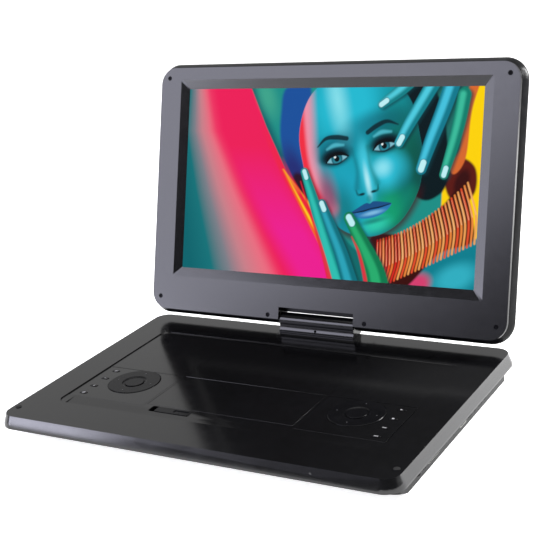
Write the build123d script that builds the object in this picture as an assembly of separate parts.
from build123d import *
import math
import os

# Portable DVD player: a base with a disc drive, a swivelling hinge block and a tilting screen lid.
# Working frame: origin at the middle of the base's footprint on the table, +X to the user's right,
# +Y away from the user, +Z up, in millimetres. ORIGIN_Y then moves everything so that the origin is
# the bottom centre of the whole object with the lid in its rest position.

# ---- base housing -----------------------------------------------------------
TOP_X = 204.8            # half width of the base's flat top
TOP_Y = 135.2            # half depth of the base's flat top
TOP_Z = 29.4             # height of the flat top above the table
TOP_CORNER = 14.0        # plan radius of the top's corners
RIM_OUT = 3.5            # how far the chamfered rim stands out
RIM_DROP = 9.4           # height of the chamfered rim
LIP_DROP = 2.6           # upright lip under the chamfer
SHELL_WALL = 2.2         # wall of the bottom shell
CEILING = 3.4            # thickness of the top plate
SKIRT_INSET = 3.8        # bottom shell set in from the top's edge
SKIRT_CORNER = 14.0      # plan radius of the bottom shell
FIT = 0.2                # static gap between housing pieces
FOOT_H = 3.0             # height of the rubber feet under the shell
FOOT_SINK = 0.4          # depth of the foot pockets
NOSE_RUN = 26.0          # depth of the sloped underside at the front
NOSE_RISE = 11.2         # height of the sloped underside at the front

# ---- inset panel ------------------------------------------------------------
PANEL_X = 169.6
PANEL_Y0 = -92.4
PANEL_Y1 = 86.9
PANEL_SINK = 1.0         # depth of the inset below the flat top
PANEL_BEVEL = 0.8        # width of its bevelled edge
PANEL_CORNER = 9.0
STRIP_END_Y = -76.0      # rear end of the sloping front strip
STRIP_DROP = 0.8
STEP_Y = -6.8            # styling groove across the panel
GROOVE_W = 0.5
GROOVE_D = 0.4

# ---- disc door --------------------------------------------------------------
DOOR_X = 77.9
DOOR_Y0 = -71.0
DOOR_T = 2.0
DOOR_GAP = 0.35
DOOR_TAIL = 4.7          # door behind its hinge axis
DOOR_AXIS_DOWN = 3.7     # hinge axis below the door's top
DOOR_TAIL_ROUND = 1.6
DOOR_REAR_GAP = 0.85
DOOR_PIN_R = 0.7
DOOR_EAR_R = 1.9
DOOR_LUG_R = 1.4
DOOR_EAR_X = 62.0        # middle of each door ear
DOOR_EAR_W = 6.0
DOOR_LUG_W = 3.0

# ---- disc drive -------------------------------------------------------------
DISC_R = 60.0            # standard 120 mm disc
DISC_Y = 8.0             # disc centre
WELL_GAP = 2.0
TRAY_SIDE = 6.1          # tray past the door on each side
TROUGH_GAP = 0.5         # trough past the door's tail on each side
TRAY_Y0 = -72.4
TRAY_Y1 = 94.0
TRAY_T = 1.6
WELL_FLOOR = 18.6        # underside of the well's floor
TURNTABLE_R = 15.0
HUB_R = 7.4
DISC_SEAT = 22.0
HUB_TOP = 25.2
SPINDLE_R = 1.0
RUN_GAP = 0.05           # radial running clearance of shafts
MOTOR_R = 12.0
MOTOR_H = 6.0
CHASSIS_Z = 8.0
CHASSIS_T = 1.5
CHASSIS_X = 58.0
CHASSIS_Y0 = -32.0
CHASSIS_Y1 = 82.0
ROD_X = 24.0
ROD_R = 1.5
ROD_Z = 12.5
ROD_Y0 = 14.0
ROD_Y1 = 78.0
POST_D = 4.0
SLED_Y = 34.0            # carriage at its inner stop
SLED_TRAVEL = 30.0
SLED_D = 16.0
SLED_X = 28.0
LENS_R = 3.0
GEAR_MODULE = 0.8
GEAR_TEETH = 20
PINION_TEETH = 8
GEAR_Z = 14.7
GEAR_T = 2.0
GEAR_Y = SLED_Y + SLED_TRAVEL / 2

# ---- controls ---------------------------------------------------------------
PAD_X = 121.5            # centres of the round pads
PAD_Y = -32.5
PAD_R = 26.0
PAD_BUTTON_R = 9.4
KEY_GAP = 0.4
KEY_FLANGE = 1.6
KEY_FLANGE_T = 1.4
PAD_PROUD = 0.6
KEY_PROUD = 0.4
KEY_TRAVEL = 0.6
KEY_COLUMN_GAP = 9.5      # from a pad's edge to the middle of the key column
KEY_YS = (-15.2, -33.3, -51.4, -67.8)
KEY_L = 8.0
KEY_W = 3.6
PLATE_X0 = 80.5
PLATE_T = 1.2
PLATE_SIDE_GAP = 0.8
BOARD_Z = 20.0
BAY_X0 = -181.0          # battery bay in the floor
BAY_X1 = -87.0
BAY_Y0 = 16.0
BAY_Y1 = 94.0
BATTERY_H = 14.0
BOARD_T = 1.6
MAT_T = 0.8
DOME_H = 1.0
LATCH_X0 = -69.6
LATCH_X1 = -24.9
LATCH_Y0 = -83.0
LATCH_Y1 = -73.0
LATCH_TRAVEL = 6.0

# ---- side wall --------------------------------------------------------------
PORT_Z = 10.0
MAIN_BOARD_Z = 5.6
MAIN_BOARD_T = 1.2
MAIN_BOARD_REAR = 32.0   # main board's rear edge, from the bottom shell's rear
MAIN_BOARD_Y0 = -95.0    # front end of the arm that carries the side ports
DC_Y = 42.0
DC_BORE_R = 2.9
DC_PIN_R = 1.0
AUDIO_YS = (-22.0, -6.0)
AUDIO_R = 1.8
AUDIO_L = 14.0
USB_Y = 14.0
CARD_Y = -50.0
SWITCH_Y = 64.0
SWITCH_L = 4.0
SWITCH_TRAVEL = 4.0
VOLUME_Y = -84.0
VOLUME_R = 7.6
VOLUME_PROUD = 2.0

# ---- hinge ------------------------------------------------------------------
HINGE_INSET = 6.7         # hinge axis in front of the flat top's rear edge
HINGE_Z = 40.2
BLOCK_X = 43.0
BLOCK_D = 20.0
BARREL_R = 7.75
BLOCK_LIFT = 0.3         # gap between the block and the base's top
COVER_WALL = 2.0
CARRIER_GAP = 0.75       # carrier's ears inside the cover
SHAFT_R = 4.0
NUT_AF = 10.0
WASHER_R = 6.2
PIN_R = 2.2
PIN_X0 = 28.0
PIN_X1 = 53.0
KNUCKLE_R = 4.0
KNUCKLE_X0 = 46.0
KNUCKLE_X1 = 52.5

# ---- lid --------------------------------------------------------------------
LEAN = 17.9              # lid leans back by this angle at rest, in degrees
LID_X = 204.8
LID_V0 = 0.25            # bottom edge above the hinge axis
LID_V1 = 263.5
LID_HALF_T = 9.8
LID_CORNER = 18.0
LID_FLARE = 4.5          # rim stands out past the front face
FLARE_W0 = -1.2
FLARE_W1 = 1.3
BACK_INSET = 6.0
LID_WALL = 2.2
BEZEL_T = 2.8
WINDOW_X = 169.0
WINDOW_H = 97.0
WINDOW_V = 143.6
BEVEL = 10.0
NOTCH_X = 43.5
NOTCH_V = 13.0
HOOD_GAP = 0.35          # lip of the back shell over the hinge barrel
HOOD_W0 = -2.6
HOOD_W1 = -0.6
LCD_X = 176.0
LCD_H = 103.0
LCD_T = 3.5
BACKLIGHT_T = 2.1
LID_SCREWS = ((194.4, 252.3), (194.4, 13.4), (56.3, 4.0))
LID_HEAD_R = 2.2

# ---- screws -----------------------------------------------------------------
SCREW_R = 1.25
SCREW_HEAD_R = 2.6
SCREW_HEAD_T = 1.5
BOSS_R = 3.4
SCREW_X_IN = 60.0        # inner pairs of base screws
SCREW_SIDE = 31.0        # outer pairs, from the bottom shell's side
SCREW_FRONT = 12.2       # front screws, behind the middle of the front strip
SCREW_REAR = 3.0         # inner rear screws, in front of the middle of the rear strip
SCREW_CORNER = 14.0      # outer rear screws, from the bottom shell's rear
FOOT_SIDE = 10.0         # foot centres, from the bottom shell's side
FOOT_FRONT = 41.0
FOOT_REAR = 34.0
BUMPER_SIDE = 6.8        # lid bumpers, from the flat top's side
BUMPER_FRONT = 19.2
BUMPER_R = 2.9

# ---- derived sizes ----------------------------------------------------------
PANEL_Z = TOP_Z - PANEL_SINK
CEILING_Z = TOP_Z - CEILING
HINGE_Y = TOP_Y - HINGE_INSET
RIM_X = TOP_X + RIM_OUT
RIM_Y = TOP_Y + RIM_OUT
RIM_Z = TOP_Z - RIM_DROP
LIP_Z = RIM_Z - LIP_DROP
SKIRT_X = TOP_X - SKIRT_INSET
SKIRT_Y = TOP_Y - SKIRT_INSET + 0.6
FLOOR_Z = FOOT_H + SHELL_WALL
BASE_SCREWS = (
    (SCREW_X_IN, (PANEL_Y0 - SKIRT_Y) / 2 + SCREW_FRONT),
    (SKIRT_X - SCREW_SIDE, (PANEL_Y0 - SKIRT_Y) / 2 + SCREW_FRONT),
    (SCREW_X_IN, (TRAY_Y1 + SKIRT_Y) / 2 - SCREW_REAR),
    (SKIRT_X - SCREW_SIDE, SKIRT_Y - SCREW_CORNER),
)
BUMPER_X = TOP_X - BUMPER_SIDE
BUMPER_Y = -TOP_Y + BUMPER_FRONT
KEY_COLUMN_X = PAD_X + PAD_R + KEY_COLUMN_GAP
DOOR_Z = PANEL_Z - DOOR_T
DOOR_AXIS_Z = PANEL_Z - DOOR_AXIS_DOWN
DOOR_REAR = PANEL_Y1 - 0.1
DOOR_AXIS_Y = DOOR_REAR - DOOR_TAIL
TRAY_TOP = CEILING_Z - 0.3
TRAY_X = DOOR_X + TRAY_SIDE
TROUGH_X = DOOR_X + TROUGH_GAP
WELL_R = DISC_R + WELL_GAP
WELL_Z = WELL_FLOOR + TRAY_T
CHASSIS_TOP = CHASSIS_Z + CHASSIS_T
GEAR_R = GEAR_MODULE * GEAR_TEETH / 2
PINION_R = GEAR_MODULE * PINION_TEETH / 2
RACK_X = -(SLED_X + 3.0)
GEAR_X = RACK_X - GEAR_R
BOARD_TOP = BOARD_Z + BOARD_T
MAIN_TOP = MAIN_BOARD_Z + MAIN_BOARD_T
BEZEL_BACK = LID_HALF_T - BEZEL_T
LCD_FRONT = BEZEL_BACK - 0.1
BLOCK_Z = TOP_Z + BLOCK_LIFT
CARRIER_R = BARREL_R - COVER_WALL - CARRIER_GAP
lean_rad = math.radians(LEAN)
LID_REAR = HINGE_Y + (LID_V1 - BACK_INSET) * math.sin(lean_rad) + LID_HALF_T * math.cos(lean_rad)
ORIGIN_Y = (LID_REAR - RIM_Y) / 2
LID_PLACE = Pos(0, HINGE_Y, HINGE_Z) * Rot(90 - LEAN, 0, 0)


# ---- shape helpers ----------------------------------------------------------
def slab(x0, x1, y0, y1, z0, z1, r=0.0):
    """Upright block between two corners, with its four vertical edges rounded."""
    solid = Pos((x0 + x1) / 2, (y0 + y1) / 2, (z0 + z1) / 2) * Box(x1 - x0, y1 - y0, z1 - z0)
    if r > 0:
        solid = fillet(solid.edges().filter_by(Axis.Z), r)
    return solid


def column(x, y, z0, z1, r):
    """Upright cylinder."""
    return Pos(x, y, (z0 + z1) / 2) * Cylinder(r, z1 - z0)


def bar_x(y, z, x0, x1, r):
    """Cylinder along X."""
    return Pos((x0 + x1) / 2, y, z) * Rot(0, 90, 0) * Cylinder(r, x1 - x0)


def bar_y(x, z, y0, y1, r):
    """Cylinder along Y."""
    return Pos(x, (y0 + y1) / 2, z) * Rot(90, 0, 0) * Cylinder(r, y1 - y0)


def outline(half_x, y0, y1, z, r):
    """Flat rounded rectangle, symmetric about X = 0."""
    return (Pos(0, (y0 + y1) / 2, z) * RectangleRounded(2 * half_x, y1 - y0, r)).face()


def flare(low, high):
    """Solid with straight sides between two outlines."""
    return loft([outline(*low), outline(*high)], ruled=True)


def mirrored(solid):
    """The same piece on the other side of X = 0."""
    return mirror(solid, about=Plane.YZ)


def pair(solid):
    """A piece and its mirror image, as separate solids."""
    return group([solid, mirrored(solid)])


def group(solids):
    """Separate solids kept in one node."""
    return Compound([one for item in solids for one in item.solids()])


# ---- base housing -----------------------------------------------------------
def base_screw_places():
    """Axis of each base screw."""
    return [(side * x, y) for x, y in BASE_SCREWS for side in (-1, 1)]


def make_base_top_shell():
    """Top shell: chamfered rim, inset panel, door opening and pockets for the controls."""
    grow = TOP_CORNER + RIM_OUT
    shell = flare((RIM_X, -RIM_Y, RIM_Y, RIM_Z, grow), (TOP_X, -TOP_Y, TOP_Y, TOP_Z, TOP_CORNER))
    shell += slab(-RIM_X, RIM_X, -RIM_Y, RIM_Y, LIP_Z, RIM_Z, grow)
    inner = SKIRT_CORNER + FIT
    shell -= slab(-SKIRT_X - FIT, SKIRT_X + FIT, -SKIRT_Y - FIT, SKIRT_Y + FIT, LIP_Z, CEILING_Z, inner)
    bevel = PANEL_BEVEL
    shell -= flare(
        (PANEL_X, PANEL_Y0, PANEL_Y1 + 1.4, PANEL_Z, PANEL_CORNER),
        (PANEL_X + bevel, PANEL_Y0 - bevel, PANEL_Y1 + 1.4 + bevel, TOP_Z, PANEL_CORNER + bevel),
    )
    strip = Polyline(
        (PANEL_Y0, PANEL_Z - STRIP_DROP), (STRIP_END_Y, PANEL_Z), (PANEL_Y0, PANEL_Z), close=True
    )
    shell -= Pos(PANEL_X - PANEL_CORNER, 0, 0) * extrude(
        make_face(Plane.YZ * strip), -2 * (PANEL_X - PANEL_CORNER)
    )
    shell -= slab(
        -DOOR_X - DOOR_GAP, DOOR_X + DOOR_GAP, DOOR_Y0 - DOOR_GAP, DOOR_REAR + DOOR_REAR_GAP, CEILING_Z, TOP_Z
    )
    plate_floor = PANEL_Z - PLATE_T
    for side in (-1, 1):
        x0, x1 = sorted((side * (PLATE_X0 - FIT), side * (PANEL_X - 0.2)))
        shell -= slab(x0, x1, STRIP_END_Y + 0.3, STEP_Y - 0.2, plate_floor, TOP_Z)
        shell -= column(side * PAD_X, PAD_Y, CEILING_Z, TOP_Z, PAD_R + KEY_GAP)
        for y in KEY_YS:
            shell -= key_blank(side * KEY_COLUMN_X, y, CEILING_Z, TOP_Z, KEY_GAP)
        x0, x1 = sorted((side * (DOOR_X + 1.0), side * (PANEL_X - 1.0)))
        shell -= slab(x0, x1, STEP_Y, STEP_Y + GROOVE_W, PANEL_Z - GROOVE_D, PANEL_Z)
        shell -= column(side * BUMPER_X, BUMPER_Y, TOP_Z - 0.5, TOP_Z, BUMPER_R + 0.1)
    shell -= slab(LATCH_X0, LATCH_X1, LATCH_Y0, LATCH_Y1, CEILING_Z, TOP_Z, 2.0)
    shell -= bar_y(130.4, 24.5, -RIM_Y, -SKIRT_Y, 1.2)
    for x, y in base_screw_places():
        shell += column(x, y, 14.2, CEILING_Z, BOSS_R - 0.4)
        shell -= column(x, y, 14.2, CEILING_Z - 1.0, SCREW_R + 0.02)
    shell -= column(0, HINGE_Y, LIP_Z, CEILING_Z, WASHER_R + 0.4)
    shell -= column(0, HINGE_Y, CEILING_Z, TOP_Z, SHAFT_R + RUN_GAP)
    return shell


def side_profile(inset):
    """Side view of the bottom shell as a prism across X, drawn in by a wall."""
    y0 = -SKIRT_Y + inset
    y1 = SKIRT_Y - inset
    z0 = FOOT_H + inset
    z1 = CEILING_Z - FIT + 2 * inset
    points = [(y0, z0 + NOSE_RISE), (y0 + NOSE_RUN, z0), (y1, z0), (y1, z1), (y0, z1)]
    face = make_face(Plane.YZ * Polyline(*points, close=True))
    return Pos(-SKIRT_X, 0, 0) * extrude(face, 2 * SKIRT_X)


def make_base_bottom_shell():
    """Bottom shell: floor, side walls, bosses, port holes, speaker and vent slots."""
    z1 = CEILING_Z - FIT
    wall = SHELL_WALL
    shell = slab(-SKIRT_X, SKIRT_X, -SKIRT_Y, SKIRT_Y, FOOT_H, z1, SKIRT_CORNER) & side_profile(0)
    cavity = slab(
        -SKIRT_X + wall, SKIRT_X - wall, -SKIRT_Y + wall, SKIRT_Y - wall, FOOT_H, z1 + 5, SKIRT_CORNER - wall
    )
    shell -= cavity & side_profile(wall)
    for x, y in base_screw_places():
        shell += column(x, y, FOOT_H, 14.0, BOSS_R)
        shell -= column(x, y, FOOT_H, 14.0, SCREW_R + 0.1)
        shell -= column(x, y, FOOT_H, FOOT_H + SCREW_HEAD_T + 0.2, SCREW_HEAD_R + 0.2)
    for side in (-1, 1):
        for x in (92.0, 165.0):
            for y in (-68.0, -12.0):
                shell += column(side * x, y, FLOOR_Z - 0.2, BOARD_Z, 2.5)
        for x, y in ((TRAY_X - 4.0, TRAY_Y0 + 4.0), (TROUGH_X + TRAY_T + 2.8, TRAY_Y1 - 5.0)):
            shell += column(side * x, y, FLOOR_Z - 0.2, TRAY_TOP - TRAY_T, 2.6)
        for i in range(-3, 4):
            shell -= slab(side * 125 - 12, side * 125 + 12, i * 5 - 46, i * 5 - 44, FOOT_H, FLOOR_Z)
    for i in range(6):
        shell -= slab(112 + i * 9, 114.5 + i * 9, 50, 80, FOOT_H, FLOOR_Z)
    for x, y in foot_places():
        shell -= slab(x - 8.1, x + 8.1, y - 9.1, y + 9.1, FOOT_H, FOOT_H + FOOT_SINK, 3.0)
    rear = SKIRT_Y - MAIN_BOARD_REAR - 4.0
    for x, y in ((94.0, 4.0), (94.0, rear), (SKIRT_X - 11.0, rear), (SKIRT_X - 23.0, MAIN_BOARD_Y0 + 3.0)):
        shell += column(x, y, FLOOR_Z - 0.2, MAIN_BOARD_Z, 2.5)
    shell -= slab(BAY_X0, BAY_X1, BAY_Y0, BAY_Y1, FOOT_H, FLOOR_Z, 3.0)
    x0 = SKIRT_X - wall - 0.5
    x1 = SKIRT_X + 0.5
    shell -= bar_x(DC_Y, PORT_Z, x0, x1, DC_BORE_R + 1.1)
    for y in AUDIO_YS:
        shell -= bar_x(y, PORT_Z, x0, x1, AUDIO_R + 1.6)
    shell -= slab(x0, x1, USB_Y - 7.2, USB_Y + 7.2, MAIN_TOP - 0.2, MAIN_TOP + 6.6)
    shell -= slab(x0, x1, CARD_Y - 13, CARD_Y + 13, MAIN_TOP, MAIN_TOP + 3.4)
    shell -= slab(x0, x1, SWITCH_Y - 0.3, SWITCH_Y + SWITCH_L + SWITCH_TRAVEL + 0.3, 8.3, 11.3)
    shell -= slab(x0, x1, VOLUME_Y - 7.3, VOLUME_Y + 7.3, 7.9, 11.9)
    for y in (-74.0, -71.0, 27.0, 30.0, 33.0, 52.0, 55.0, 58.0):
        shell -= slab(SKIRT_X - 0.6, x1, y, y + 1.4, 7.0, 14.0)
    shell -= column(0, HINGE_Y, 17.0, z1, WASHER_R + 0.8)
    return shell


def foot_places():
    """Centre of each rubber foot."""
    x = SKIRT_X - FOOT_SIDE
    return [(side * x, y) for side in (-1, 1) for y in (-SKIRT_Y + FOOT_FRONT, SKIRT_Y - FOOT_REAR)]


def make_rubber_feet():
    """Four rubber pads stuck into shallow pockets."""
    return group(slab(x - 8, x + 8, y - 9, y + 9, 0, FOOT_H + FOOT_SINK, 3.0) for x, y in foot_places())


def screw_solid(x, y):
    """Pan head screw driven up from below."""
    head = column(x, y, FOOT_H + 0.2, FOOT_H + 0.2 + SCREW_HEAD_T, SCREW_HEAD_R)
    head -= slab(x - 1.6, x + 1.6, y - 0.3, y + 0.3, FOOT_H + 0.2, FOOT_H + 0.9)
    head -= slab(x - 0.3, x + 0.3, y - 1.6, y + 1.6, FOOT_H + 0.2, FOOT_H + 0.9)
    return head + column(x, y, FOOT_H + SCREW_HEAD_T, 22.0, SCREW_R)


def make_battery_cover():
    """Flush cover under the battery bay."""
    cover = slab(BAY_X0 + FIT, BAY_X1 - FIT, BAY_Y0 + FIT, BAY_Y1 - FIT, FOOT_H, FLOOR_Z, 3.0 - FIT)
    middle = (BAY_X0 + BAY_X1) / 2
    cover -= slab(middle - 10, middle + 10, BAY_Y0 + 4, BAY_Y0 + 10, FOOT_H, FOOT_H + 0.8, 2.9)
    return cover


def make_battery_pack():
    """Battery pack in its bay, on the cover."""
    z0 = FLOOR_Z + FIT
    return slab(BAY_X0 + 1, BAY_X1 - 1, BAY_Y0 + 1, BAY_Y1 - 1, z0, z0 + BATTERY_H, 3.0)


# ---- controls ---------------------------------------------------------------
def key_blank(x, y, z0, z1, gap):
    """Small oblong key outline with a gap round it."""
    half_l = KEY_L / 2 + gap
    half_w = KEY_W / 2 + gap
    return slab(x - half_l, x + half_l, y - half_w, y + half_w, z0, z1, half_w - 0.05)


def make_key(x, y):
    """Small key with a retaining flange under the shell."""
    key = key_blank(x, y, CEILING_Z - 0.2 - KEY_FLANGE_T, PANEL_Z + KEY_PROUD, 0)
    key = fillet(key.edges().group_by(Axis.Z)[-1], 0.3)
    return key + key_blank(x, y, CEILING_Z - 0.2 - KEY_FLANGE_T, CEILING_Z - 0.2, 1.0)


def make_pad_ring(x):
    """Direction ring with a shallow dish and a retaining flange."""
    z0 = CEILING_Z - 0.2 - KEY_FLANGE_T
    ring = column(x, PAD_Y, z0, PANEL_Z + PAD_PROUD, PAD_R)
    ring = chamfer(ring.edges().group_by(Axis.Z)[-1], 0.5)
    ring += column(x, PAD_Y, z0, CEILING_Z - 0.2, PAD_R + KEY_FLANGE)
    ring -= Pos(x, PAD_Y, PANEL_Z + PAD_PROUD - 0.6) * Cone(
        PAD_BUTTON_R + 1.5, PAD_BUTTON_R + 3.6, 1.2
    )
    ring -= column(x, PAD_Y, z0, PANEL_Z + 2, PAD_BUTTON_R + 0.3)
    ring -= column(x, PAD_Y, z0, z0 + KEY_FLANGE_T + 0.8, PAD_BUTTON_R + 2.2)
    return ring


def make_pad_button(x):
    """Round centre button, held by its own flange inside the ring."""
    z0 = CEILING_Z - 0.2 - KEY_FLANGE_T
    button = column(x, PAD_Y, z0, PANEL_Z + 0.2, PAD_BUTTON_R)
    button = fillet(button.edges().group_by(Axis.Z)[-1], 0.5)
    return button + column(x, PAD_Y, z0, z0 + KEY_FLANGE_T, PAD_BUTTON_R + 1.2)


def make_keypad_plate():
    """Gloss plate on the right that frames the pad and the keys."""
    plate = slab(
        PLATE_X0, PANEL_X - 0.2 - PLATE_SIDE_GAP, STRIP_END_Y + 0.5, STEP_Y - 0.4, PANEL_Z - PLATE_T, PANEL_Z
    )
    plate -= column(PAD_X, PAD_Y, PANEL_Z - PLATE_T, PANEL_Z, PAD_R + KEY_GAP)
    for y in KEY_YS:
        plate -= key_blank(KEY_COLUMN_X, y, PANEL_Z - PLATE_T, PANEL_Z, KEY_GAP)
    return plate


def make_key_mat():
    """Silicone mat with a dome under each key, on the right keypad board."""
    mat = slab(88, 168.5, -74, -8, BOARD_TOP, BOARD_TOP + MAT_T, 3.0)
    top = BOARD_TOP + MAT_T + DOME_H
    for y in KEY_YS:
        mat += column(KEY_COLUMN_X, y, BOARD_TOP, top, 1.8)
    for i in range(4):
        angle = math.radians(90 * i)
        mat += column(PAD_X + 20 * math.cos(angle), PAD_Y + 20 * math.sin(angle), BOARD_TOP, top, 2.4)
    return mat + column(PAD_X, PAD_Y, BOARD_TOP, top, 3.0)


def make_open_latch():
    """Slide that frees the disc door: a raised thumb piece on a carrier under the shell."""
    under = CEILING_Z - 0.3
    latch = slab(LATCH_X0 + 6.6, LATCH_X1 - 0.4, LATCH_Y0 + 0.4, LATCH_Y1 - 0.4, under - 1.2, PANEL_Z + 0.2, 1.8)
    latch -= slab(LATCH_X0 + 26, LATCH_X1 - 2.4, LATCH_Y0 + 3, LATCH_Y1 - 2.4, PANEL_Z - 0.5, PANEL_Z + 1, 1.2)
    latch += slab(LATCH_X0 + 3, LATCH_X1 + 3, LATCH_Y0 - 2, TRAY_Y0 - 0.4, under - 1.2, under)
    return latch


# ---- disc door and drive ----------------------------------------------------
def make_disc_door():
    """Door over the disc well, with two ears on the hinge pins and a hook at the front."""
    door = slab(-DOOR_X, DOOR_X, DOOR_Y0, DOOR_REAR, DOOR_Z, PANEL_Z)
    rear = door.edges().filter_by(Axis.X).group_by(Axis.Y)[-1].sort_by(Axis.Z)[-1]
    door = fillet(rear, DOOR_TAIL_ROUND)
    door -= slab(-DOOR_X, DOOR_X, STEP_Y, STEP_Y + GROOVE_W, PANEL_Z - GROOVE_D, PANEL_Z)
    for side in (-1, 1):
        x0 = side * DOOR_EAR_X - DOOR_EAR_W / 2
        ear = bar_x(DOOR_AXIS_Y, DOOR_AXIS_Z, x0, x0 + DOOR_EAR_W, DOOR_EAR_R)
        ear += slab(
            x0, x0 + DOOR_EAR_W, DOOR_AXIS_Y - DOOR_EAR_R, DOOR_AXIS_Y + DOOR_EAR_R, DOOR_AXIS_Z, DOOR_Z + 0.2
        )
        door += ear
        door -= bar_x(DOOR_AXIS_Y, DOOR_AXIS_Z, x0, x0 + DOOR_EAR_W, DOOR_PIN_R + RUN_GAP)
    return door


def make_door_pins():
    """Two short pins that carry the door."""
    half = DOOR_EAR_W / 2 + DOOR_LUG_W + 0.3
    return pair(bar_x(DOOR_AXIS_Y, DOOR_AXIS_Z, DOOR_EAR_X - half, DOOR_EAR_X + half, DOOR_PIN_R))


def make_disc_tray():
    """Tray under the door: disc well, slot for the lens and a trough with the door's hinge lugs."""
    tray = slab(-TRAY_X, TRAY_X, TRAY_Y0, TRAY_Y1, TRAY_TOP - TRAY_T, TRAY_TOP, 4.0)
    tray += column(0, DISC_Y, WELL_FLOOR, TRAY_TOP, WELL_R + TRAY_T)
    trough_y0 = DOOR_AXIS_Y - 4.0
    trough_y1 = DOOR_REAR + 4.0
    tray += slab(
        -TROUGH_X - TRAY_T, TROUGH_X + TRAY_T, trough_y0 - TRAY_T, trough_y1 + TRAY_T, WELL_FLOOR, TRAY_TOP
    )
    tray -= column(0, DISC_Y, WELL_Z, TRAY_TOP, WELL_R)
    tray -= slab(-TROUGH_X, TROUGH_X, trough_y0, trough_y1, WELL_Z, TRAY_TOP)
    tray -= column(0, DISC_Y, WELL_FLOOR, WELL_Z, TURNTABLE_R + 1.0)
    tray -= slab(-7, 7, DISC_Y, SLED_Y + SLED_TRAVEL + LENS_R + 2, WELL_FLOOR, WELL_Z)
    offset = DOOR_EAR_W / 2 + 0.3 + DOOR_LUG_W / 2
    for x in (-DOOR_EAR_X - offset, -DOOR_EAR_X + offset, DOOR_EAR_X - offset, DOOR_EAR_X + offset):
        x0 = x - DOOR_LUG_W / 2
        lug = bar_x(DOOR_AXIS_Y, DOOR_AXIS_Z, x0, x0 + DOOR_LUG_W, DOOR_LUG_R)
        lug += slab(
            x0, x0 + DOOR_LUG_W, DOOR_AXIS_Y - DOOR_LUG_R, DOOR_AXIS_Y + DOOR_LUG_R, WELL_FLOOR, DOOR_AXIS_Z
        )
        tray += lug
        tray -= bar_x(DOOR_AXIS_Y, DOOR_AXIS_Z, x0, x0 + DOOR_LUG_W, DOOR_PIN_R)
    return tray


def make_sled_chassis():
    """Drive chassis with rod posts and the drive gear's post."""
    chassis = slab(-CHASSIS_X, CHASSIS_X, CHASSIS_Y0, CHASSIS_Y1, CHASSIS_Z, CHASSIS_TOP, 5.0)
    chassis -= slab(-18, 18, 26, 68, CHASSIS_Z, CHASSIS_TOP, 3.0)
    for x in (-ROD_X, ROD_X):
        for y in (ROD_Y0, ROD_Y1 - POST_D):
            chassis += slab(x - 3, x + 3, y, y + POST_D, CHASSIS_TOP - 0.2, ROD_Z + 2.0)
        chassis -= bar_y(x, ROD_Z, ROD_Y0, ROD_Y1, ROD_R)
    return chassis + column(GEAR_X, GEAR_Y, CHASSIS_TOP - 0.2, GEAR_Z + GEAR_T + 0.4, 1.2)


def damper_places():
    """Centre of each rubber damper under the chassis."""
    return [(side * (CHASSIS_X - 8), y) for side in (-1, 1) for y in (CHASSIS_Y0 + 8, CHASSIS_Y1 - 8)]


def make_spindle_motor():
    """Spindle motor can with the shaft's bush."""
    can = column(0, DISC_Y, CHASSIS_TOP, CHASSIS_TOP + MOTOR_H, MOTOR_R)
    can = fillet(can.edges().group_by(Axis.Z)[-1], 1.0)
    return can - column(0, DISC_Y, CHASSIS_TOP + 1.5, CHASSIS_TOP + MOTOR_H, SPINDLE_R + RUN_GAP)


def make_turntable():
    """Turntable with the hub that centres a disc."""
    table = column(0, DISC_Y, DISC_SEAT - 1.4, DISC_SEAT, TURNTABLE_R)
    table += column(0, DISC_Y, CHASSIS_TOP + MOTOR_H + 0.6, DISC_SEAT, 4.0)
    hub = column(0, DISC_Y, DISC_SEAT - 0.5, HUB_TOP, HUB_R)
    table += fillet(hub.edges().group_by(Axis.Z)[-1], 1.4)
    return table - column(0, DISC_Y, CHASSIS_TOP, HUB_TOP - 1.2, SPINDLE_R)


def rack_tooth(y):
    """One rack tooth pointing towards the drive gear."""
    pitch = math.pi * GEAR_MODULE
    root = 0.21 * pitch + 1.1 * GEAR_MODULE * math.tan(math.radians(20))
    tip = 0.21 * pitch - 0.8 * GEAR_MODULE * math.tan(math.radians(20))
    x_root = RACK_X + 1.1 * GEAR_MODULE
    x_tip = RACK_X - 0.8 * GEAR_MODULE
    points = [(x_root + 0.2, y - root), (x_tip, y - tip), (x_tip, y + tip), (x_root + 0.2, y + root)]
    face = make_face(Polyline(*points, close=True))
    return Pos(0, 0, GEAR_Z + 0.1) * extrude(face, GEAR_T - 0.2)


def make_pickup_carriage():
    """Carriage on the guide rods with its toothed rack and the pickup housing."""
    y0 = SLED_Y - SLED_D / 2
    y1 = SLED_Y + SLED_D / 2
    carriage = slab(-SLED_X, SLED_X, y0, y1, 10.2, GEAR_Z + GEAR_T - 0.1)
    carriage -= slab(-SLED_X + 8, -13, y0, y1, 14.4, GEAR_Z + GEAR_T)
    carriage -= slab(13, SLED_X, y0, y1, 14.4, GEAR_Z + GEAR_T)
    for x in (-ROD_X, ROD_X):
        carriage -= bar_y(x, ROD_Z, y0, y1, ROD_R + RUN_GAP)
    reach = SLED_TRAVEL / 2 + 3.5
    x_root = RACK_X + 1.1 * GEAR_MODULE
    carriage += slab(x_root, -SLED_X + 2, SLED_Y - reach, SLED_Y + reach, GEAR_Z + 0.1, GEAR_Z + GEAR_T - 0.1)
    pitch = math.pi * GEAR_MODULE
    count = int((GEAR_Y + reach - SLED_TRAVEL / 2) / pitch)
    for i in range(-count, count):
        y = GEAR_Y + (i + 0.5) * pitch
        if SLED_Y - reach + 1 < y < SLED_Y + reach - 1:
            carriage += rack_tooth(y)
    return carriage


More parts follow.
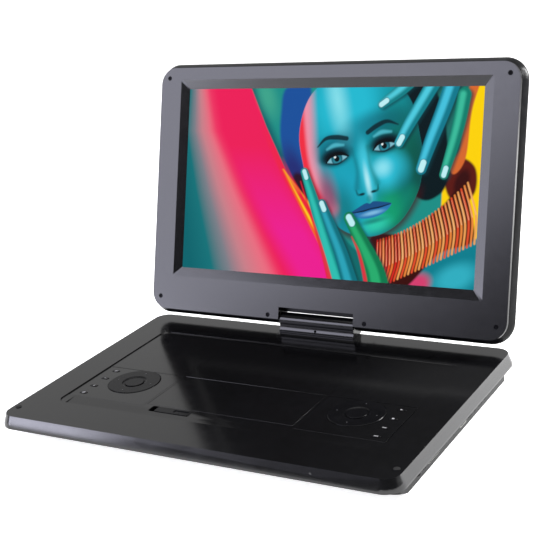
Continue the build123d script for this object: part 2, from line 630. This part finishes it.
def make_pickup_lens():
    """Lens in its holder, on top of the carriage."""
    top = GEAR_Z + GEAR_T - 0.1
    lens = column(0, SLED_Y, top, WELL_Z - 0.8, LENS_R + 1.2)
    dome = Pos(0, SLED_Y, WELL_Z - 2.6) * Sphere(2.6)
    return lens + (dome & slab(-3, 3, SLED_Y - 3, SLED_Y + 3, WELL_Z - 1.2, WELL_Z))


def make_gear(x, y, teeth, phase, thick, bore):
    """Spur gear with straight flanks; one tooth is centred at the angle phase."""
    pitch_r = GEAR_MODULE * teeth / 2
    root_r = pitch_r - 1.1 * GEAR_MODULE
    tip_r = pitch_r + 0.8 * GEAR_MODULE
    slope = math.tan(math.radians(20))
    half = thick * math.pi * GEAR_MODULE / 2
    low = half + 1.1 * GEAR_MODULE * slope
    high = half - 0.8 * GEAR_MODULE * slope
    points = [(root_r - 0.4, -low), (tip_r, -high), (tip_r, high), (root_r - 0.4, low)]
    tooth = extrude(make_face(Polyline(*points, close=True)), GEAR_T)
    gear = Pos(0, 0, GEAR_T / 2) * Cylinder(root_r, GEAR_T)
    for i in range(teeth):
        gear += Rot(0, 0, phase + 360 * i / teeth) * tooth
    if bore > 0:
        gear -= Pos(0, 0, GEAR_T / 2) * Cylinder(bore, GEAR_T)
    return Pos(x, y, GEAR_Z) * gear


PINION_Y = GEAR_Y - GEAR_R - PINION_R


def make_motor_pinion():
    """Pinion with the sled motor's shaft."""
    pinion = make_gear(GEAR_X, PINION_Y, PINION_TEETH, 180 / PINION_TEETH, 0.36, 0)
    return pinion + column(GEAR_X, PINION_Y, CHASSIS_TOP + 1.5, GEAR_Z + 0.2, 0.75)


def make_sled_motor():
    """Small can motor that drives the sled."""
    motor = column(GEAR_X, PINION_Y, CHASSIS_TOP, GEAR_Z - 0.3, 6.0)
    motor = fillet(motor.edges().group_by(Axis.Z)[-1], 0.8)
    return motor - column(GEAR_X, PINION_Y, CHASSIS_TOP + 1.3, GEAR_Z - 0.3, 0.75 + RUN_GAP)


# ---- electronics ------------------------------------------------------------
def make_main_board():
    """Main board, its chips and the arm that carries the side ports, as separate solids."""
    x1 = SKIRT_X - 4.0
    y1 = SKIRT_Y - MAIN_BOARD_REAR
    board = slab(90, x1, 0, y1, MAIN_BOARD_Z, MAIN_TOP) + slab(x1 - 25, x1, MAIN_BOARD_Y0, 0, MAIN_BOARD_Z, MAIN_TOP)
    chips = [
        slab(120, 142, 30, 52, MAIN_TOP, MAIN_TOP + 1.6),
        slab(150, 162, 34, 46, MAIN_TOP, MAIN_TOP + 1.2),
        slab(104, 112, y1 - 30, y1 - 10, MAIN_TOP, MAIN_TOP + 1.2),
        column(160, y1 - 20, MAIN_TOP, MAIN_TOP + 8, 4.0),
        column(172, y1 - 20, MAIN_TOP, MAIN_TOP + 8, 4.0),
    ]
    return group([board] + chips)


def make_dc_jack():
    """DC inlet: housing, nose through the side wall and centre pin."""
    jack = slab(SKIRT_X - 14, SKIRT_X - 2.4, DC_Y - 4.5, DC_Y + 4.5, MAIN_TOP, PORT_Z + 4.4)
    jack += bar_x(DC_Y, PORT_Z, SKIRT_X - 3.8, SKIRT_X, DC_BORE_R + 0.9)
    jack -= bar_x(DC_Y, PORT_Z, SKIRT_X - 11, SKIRT_X, DC_BORE_R)
    return jack + bar_x(DC_Y, PORT_Z, SKIRT_X - 12, SKIRT_X - 1.5, DC_PIN_R)


def make_audio_jack(y):
    """3.5 mm socket with its ferrule through the side wall."""
    end = SKIRT_X + 0.2
    jack = slab(end - AUDIO_L - 1.0, SKIRT_X - 2.4, y - 3.5, y + 3.5, MAIN_TOP, PORT_Z + 3.2)
    jack += bar_x(y, PORT_Z, SKIRT_X - 6, end, AUDIO_R + 1.2)
    return jack - bar_x(y, PORT_Z, end - AUDIO_L, end, AUDIO_R)


def make_usb_port():
    """USB socket with its contact tongue."""
    port = slab(SKIRT_X - 14.5, SKIRT_X + 0.1, USB_Y - 7, USB_Y + 7, MAIN_TOP, MAIN_TOP + 6.4)
    port -= slab(SKIRT_X - 13, SKIRT_X + 0.1, USB_Y - 6.25, USB_Y + 6.25, MAIN_TOP + 0.65, MAIN_TOP + 5.75)
    return port + slab(SKIRT_X - 13.5, SKIRT_X - 1, USB_Y - 5.6, USB_Y + 5.6, MAIN_TOP + 3.5, MAIN_TOP + 5.3)


def make_card_slot():
    """Memory card socket."""
    slot = slab(SKIRT_X - 24, SKIRT_X - 0.2, CARD_Y - 12.8, CARD_Y + 12.8, MAIN_TOP, MAIN_TOP + 3.2)
    return slot - slab(SKIRT_X - 21, SKIRT_X, CARD_Y - 12.2, CARD_Y + 12.2, MAIN_TOP + 0.5, MAIN_TOP + 2.8)


def make_control_bodies():
    """Housings of the power switch and of the volume control."""
    switch = slab(SKIRT_X - 13, SKIRT_X - 4, SWITCH_Y - 2, SWITCH_Y + 10, MAIN_TOP, MAIN_TOP + 5)
    x = SKIRT_X + VOLUME_PROUD - VOLUME_R
    pot = column(x, VOLUME_Y, MAIN_TOP, 8.1, 3.0) + column(x, VOLUME_Y, 8.0, 11.0, 1.0)
    return group([switch, pot])


def make_power_switch():
    """Ribbed slide knob of the power switch."""
    knob = slab(SKIRT_X - 3.8, SKIRT_X + 1.2, SWITCH_Y, SWITCH_Y + SWITCH_L, 8.6, 11.0)
    for i in range(3):
        knob -= slab(SKIRT_X + 0.9, SKIRT_X + 1.2, SWITCH_Y + 0.7 + i, SWITCH_Y + 1.1 + i, 8.6, 11.0)
    return knob


def make_volume_wheel():
    """Knurled thumbwheel of the volume control."""
    x = SKIRT_X + VOLUME_PROUD - VOLUME_R
    wheel = column(x, VOLUME_Y, 8.4, 11.4, VOLUME_R)
    for i in range(24):
        angle = math.radians(15 * i)
        wheel -= column(x + VOLUME_R * math.cos(angle), VOLUME_Y + VOLUME_R * math.sin(angle), 8.4, 11.4, 0.35)
    return wheel - column(x, VOLUME_Y, 8.4, 11.4, 1.0 + RUN_GAP)


def make_speaker():
    """Loudspeaker over the slots in the right of the floor."""
    speaker = column(125, -45, FLOOR_Z, FLOOR_Z + 2.4, 20)
    speaker += column(125, -45, FLOOR_Z + 2, FLOOR_Z + 6, 15)
    speaker += column(125, -45, FLOOR_Z + 5, FLOOR_Z + 10, 9)
    return speaker - Pos(125, -45, FLOOR_Z) * Cone(16, 6, 3, align=(Align.CENTER, Align.CENTER, Align.MIN))


# ---- hinge ------------------------------------------------------------------
def block_profile(inset):
    """Hinge block seen from its end: a round barrel on a foot that flares to the base."""
    half = BLOCK_D / 2 - inset
    r = BARREL_R - inset
    z0 = BLOCK_Z - HINGE_Z + inset * 0.6
    z1 = z0 + 1.2
    side = math.radians(20)
    touch = (r * math.cos(side), -r * math.sin(side))
    lines = Line((-half, z0), (half, z0)) + Line((half, z0), (half, z1))
    lines += ThreePointArc((half, z1), ((half + touch[0]) / 2 - 0.7, (z1 + touch[1]) / 2), touch)
    lines += ThreePointArc(touch, (0, r), (-touch[0], touch[1]))
    lines += ThreePointArc((-touch[0], touch[1]), (-(half + touch[0]) / 2 + 0.7, (z1 + touch[1]) / 2), (-half, z1))
    lines += Line((-half, z1), (-half, z0))
    return make_face(Plane.YZ * lines)


def block_solid(half_x, inset):
    """Hinge block's outer shape as a prism along X."""
    return Pos(-half_x, HINGE_Y, HINGE_Z) * extrude(block_profile(inset), 2 * half_x)


def make_hinge_cover(front):
    """Half of the plastic cover round the hinge carrier, split on the hinge's middle plane."""
    cover = block_solid(BLOCK_X, 0) - block_solid(BLOCK_X - COVER_WALL, COVER_WALL)
    cover -= column(0, HINGE_Y, BLOCK_Z, HINGE_Z - 4, SHAFT_R + 1.0)
    cover -= bar_x(HINGE_Y, HINGE_Z, -BLOCK_X, BLOCK_X, PIN_R + 0.3)
    y0, y1 = (HINGE_Y - BLOCK_D, HINGE_Y) if front else (HINGE_Y, HINGE_Y + BLOCK_D)
    cover = cover & slab(-BLOCK_X - 1, BLOCK_X + 1, y0, y1, BLOCK_Z, HINGE_Z + BLOCK_D)
    if front:
        cover -= bar_y(-1.0, BLOCK_Z + 3.6, HINGE_Y - BLOCK_D, HINGE_Y - 5.9, 1.3)
    return cover


def make_hinge_carrier():
    """Steel carrier: a beam on the swivel shaft with an ear round each tilt pin."""
    z0 = BLOCK_Z + 1.4
    carrier = slab(-38, 38, HINGE_Y - 5.0, HINGE_Y + 5.0, z0, z0 + 2.4)
    for side in (-1, 1):
        x0, x1 = sorted((side * PIN_X0, side * 38.0))
        carrier += bar_x(HINGE_Y, HINGE_Z, x0, x1, CARRIER_R)
        carrier += slab(x0, x1, HINGE_Y - CARRIER_R, HINGE_Y + CARRIER_R, z0, HINGE_Z)
        carrier -= bar_x(HINGE_Y, HINGE_Z, x0, x1, PIN_R)
    return carrier - column(0, HINGE_Y, z0, z0 + 2.4, SHAFT_R)


def make_swivel_shaft():
    """Swivel shaft, riveted into the carrier and threaded below the shell."""
    return column(0, HINGE_Y, 21.4, BLOCK_Z + 3.8, SHAFT_R)


def make_swivel_fasteners():
    """Washer and nut that hold the swivel shaft under the shell."""
    top = CEILING_Z - 0.1
    washer = column(0, HINGE_Y, top - 1.4, top, WASHER_R) - column(0, HINGE_Y, top - 1.4, top, SHAFT_R)
    hexagon = RegularPolygon(NUT_AF / 2, 6, major_radius=False)
    nut = Pos(0, HINGE_Y, top - 3.9) * extrude(hexagon, 2.5)
    nut -= column(0, HINGE_Y, top - 3.9, top - 1.4, SHAFT_R)
    return group([washer, nut])


def make_cover_screw():
    """Screw low on the front of the hinge block."""
    return bar_y(-1.0, BLOCK_Z + 3.6, HINGE_Y - 9.1, HINGE_Y - 5.9, 1.2)


# ---- lid, drawn flat: X across, Y up from the hinge axis, Z out of the screen --
def lid_section(w, grow):
    """Lid outline at the depth w, grown all round."""
    return (LID_X + grow, LID_V0 - grow, LID_V1 + grow, w, LID_CORNER + grow)


def window_section(w, grow):
    """Screen window outline at the depth w, grown all round."""
    return (WINDOW_X + grow, WINDOW_V - WINDOW_H - grow, WINDOW_V + WINDOW_H + grow, w, 1.0 + grow * 0.1)


def lid_screw_places():
    """Axis of each lid screw in lid coordinates."""
    return [(side * x, v) for x, v in LID_SCREWS for side in (-1, 1)]


def make_lid_bezel():
    """Front frame of the screen with its sloping inner edge and recessed screw holes."""
    bezel = flare(lid_section(BEZEL_BACK, 0.6), lid_section(LID_HALF_T, 0))
    bezel -= flare(window_section(BEZEL_BACK, 0), window_section(LID_HALF_T, BEVEL))
    bezel -= slab(-NOTCH_X, NOTCH_X, LID_V0 - 5, NOTCH_V, BEZEL_BACK, LID_HALF_T)
    for x, v in lid_screw_places():
        bezel -= column(x, v, BEZEL_BACK, LID_HALF_T, SCREW_R + 0.1)
        bezel -= column(x, v, LID_HALF_T - 1.5, LID_HALF_T, LID_HEAD_R + 0.25)
    return bezel


def make_lid_back_shell():
    """Back shell with a flared rim, screw bosses and the notch for the hinge block."""
    top = BEZEL_BACK - 0.1
    wall = LID_WALL
    shell = flare(lid_section(-LID_HALF_T, -BACK_INSET), lid_section(FLARE_W0, LID_FLARE))
    shell += slab(
        -LID_X - LID_FLARE, LID_X + LID_FLARE, LID_V0 - LID_FLARE, LID_V1 + LID_FLARE, FLARE_W0, FLARE_W1,
        LID_CORNER + LID_FLARE,
    )
    shell += flare(lid_section(FLARE_W1, LID_FLARE), lid_section(top, 0.9))
    cavity = flare(lid_section(wall - LID_HALF_T, -BACK_INSET - 0.6), lid_section(FLARE_W0, LID_FLARE - wall))
    cavity += flare(lid_section(FLARE_W0, LID_FLARE - wall), lid_section(FLARE_W1, LID_FLARE - wall))
    cavity += flare(lid_section(FLARE_W1, LID_FLARE - wall), lid_section(top, -1.4))
    shell -= cavity
    notch = NOTCH_X + wall
    surround = slab(-notch, notch, LID_V0 - 1, NOTCH_V + wall, -LID_HALF_T, top)
    shell += surround & (cavity + shell)
    shell -= slab(-NOTCH_X, NOTCH_X, LID_V0 - 8, NOTCH_V, -LID_HALF_T, top)
    shell += slab(-notch, notch, BARREL_R + HOOD_GAP, NOTCH_V + wall / 2, HOOD_W0, HOOD_W1)
    for x, v in lid_screw_places():
        boss_r = 3.2 if v > NOTCH_V else 2.2
        shell += column(x, v, -LID_HALF_T + 1.0, top, boss_r)
        shell -= column(x, v, -LID_HALF_T + 2.4, top, SCREW_R)
    for side in (-1, 1):
        x0, x1 = sorted((side * (NOTCH_X - 1), side * (PIN_X1 + 0.4)))
        shell -= bar_x(0, 0, x0, x1, KNUCKLE_R + 0.3)
        shell -= slab(x0, x1, 0, KNUCKLE_R + 2, -KNUCKLE_R - 0.3, KNUCKLE_R + 0.3)
    return shell


def make_hinge_bracket():
    """Right lid bracket: a knuckle on the tilt pin and an arm screwed behind the panel."""
    x0 = KNUCKLE_X0
    x1 = KNUCKLE_X1
    bracket = bar_x(0, 0, x0, x1, KNUCKLE_R)
    bracket += slab(x0, x1, 0, 36, -KNUCKLE_R, -KNUCKLE_R + 2)
    bracket += slab(x0, x1 + 22, 24, 36, -KNUCKLE_R, -KNUCKLE_R + 2)
    return bracket - bar_x(0, 0, x0, x1, PIN_R + RUN_GAP)


def make_lid_screws():
    """Six lid screws with cross recesses, one solid each."""
    screws = []
    for x, v in lid_screw_places():
        seat = LID_HALF_T - 1.5
        head = column(x, v, seat, seat + 0.9, LID_HEAD_R)
        head -= slab(x - 1.4, x + 1.4, v - 0.3, v + 0.3, seat + 0.4, seat + 1)
        head -= slab(x - 0.3, x + 0.3, v - 1.4, v + 1.4, seat + 0.4, seat + 1)
        screws.append(head + column(x, v, -5.0, seat, SCREW_R))
    return group(screws)


def make_lcd_panel():
    """Screen module right behind the bezel."""
    return slab(-LCD_X, LCD_X, WINDOW_V - LCD_H, WINDOW_V + LCD_H, LCD_FRONT - LCD_T, LCD_FRONT)


def make_backlight():
    """Backlight tray behind the screen module."""
    top = LCD_FRONT - LCD_T
    return slab(-LCD_X + 1, LCD_X - 1, WINDOW_V - LCD_H + 1, WINDOW_V + LCD_H - 1, top - BACKLIGHT_T, top)


def make_driver_board():
    """Panel driver board along the bottom, behind the backlight."""
    top = LCD_FRONT - LCD_T - BACKLIGHT_T
    board = slab(-110, 110, WINDOW_V - LCD_H + 4, WINDOW_V - LCD_H + 30, top - 1.2, top)
    return group([board, slab(-12, 12, 50, 66, top - 2.4, top - 1.2)])


# ---- all nodes --------------------------------------------------------------
def build_nodes():
    """Every node in the working frame."""
    right_plate = make_keypad_plate()
    board = slab(84, 168.5, -74, -8, BOARD_Z, BOARD_TOP, 3.0)
    bracket = make_hinge_bracket()
    nodes = {
        "base_top_shell": make_base_top_shell(),
        "base_bottom_shell": make_base_bottom_shell(),
        "rubber_feet": make_rubber_feet(),
        "base_screws": group(screw_solid(x, y) for x, y in base_screw_places()),
        "lid_bumpers": pair(column(BUMPER_X, BUMPER_Y, TOP_Z - 0.5, TOP_Z + 0.6, BUMPER_R)),
        "battery_pack": make_battery_pack(),
        "battery_cover": make_battery_cover(),
        "led_window": bar_y(130.4, 24.5, -RIM_Y + 1.7, -SKIRT_Y - 0.1, 1.2),
        "keypad_plates": pair(right_plate),
        "keypad_boards": pair(board),
        "key_mats": pair(make_key_mat()),
        "speakers": pair(make_speaker()),
        "disc_tray": make_disc_tray(),
        "door_hinge_pins": make_door_pins(),
        "sled_chassis": make_sled_chassis(),
        "chassis_dampers": group(column(x, y, FLOOR_Z, CHASSIS_Z, 4.0) for x, y in damper_places()),
        "guide_rods": pair(bar_y(ROD_X, ROD_Z, ROD_Y0, ROD_Y1, ROD_R)),
        "drive_motors": group([make_spindle_motor(), make_sled_motor()]),
        "main_board": make_main_board(),
        "dc_jack": make_dc_jack(),
        "audio_jacks": group(make_audio_jack(y) for y in AUDIO_YS),
        "usb_port": make_usb_port(),
        "card_slot": make_card_slot(),
        "control_bodies": make_control_bodies(),
        "disc_door": make_disc_door(),
        "turntable": make_turntable(),
        "spindle_shaft": column(0, DISC_Y, CHASSIS_TOP + 1.6, HUB_TOP - 1.2, SPINDLE_R),
        "pickup_carriage": make_pickup_carriage(),
        "pickup_lens": make_pickup_lens(),
        "drive_gear": make_gear(GEAR_X, GEAR_Y, GEAR_TEETH, 0, 0.42, 1.2 + RUN_GAP),
        "motor_pinion": make_motor_pinion(),
        "open_latch": make_open_latch(),
        "power_switch": make_power_switch(),
        "volume_wheel": make_volume_wheel(),
        "hinge_carrier": make_hinge_carrier(),
        "hinge_cover_front": make_hinge_cover(True),
        "hinge_cover_rear": make_hinge_cover(False),
        "hinge_cover_screw": make_cover_screw(),
        "swivel_shaft": make_swivel_shaft(),
        "swivel_fasteners": make_swivel_fasteners(),
        "tilt_pins": pair(bar_x(HINGE_Y, HINGE_Z, PIN_X0, PIN_X1, PIN_R)),
        "lid_bezel": LID_PLACE * make_lid_bezel(),
        "lid_back_shell": LID_PLACE * make_lid_back_shell(),
        "lid_screws": LID_PLACE * make_lid_screws(),
        "lcd_panel": LID_PLACE * make_lcd_panel(),
        "backlight_tray": LID_PLACE * make_backlight(),
        "lcd_driver_board": LID_PLACE * make_driver_board(),
        "hinge_brackets": LID_PLACE * pair(bracket),
    }
    for name, side in (("left", -1), ("right", 1)):
        nodes[f"pad_ring_{name}"] = make_pad_ring(side * PAD_X)
        nodes[f"pad_button_{name}"] = make_pad_button(side * PAD_X)
        for i, y in enumerate(KEY_YS):
            nodes[f"key_{name}_{i + 1}"] = make_key(side * KEY_COLUMN_X, y)
    return nodes


def main():
    """Write one STEP file for each node, in the object's own frame."""
    os.makedirs("parts", exist_ok=True)
    for name, solid in build_nodes().items():
        export_step(Pos(0, -ORIGIN_Y, 0) * solid, f"parts/{name}.step")
    print(f"origin moved by {ORIGIN_Y:.3f} mm in Y")


main()
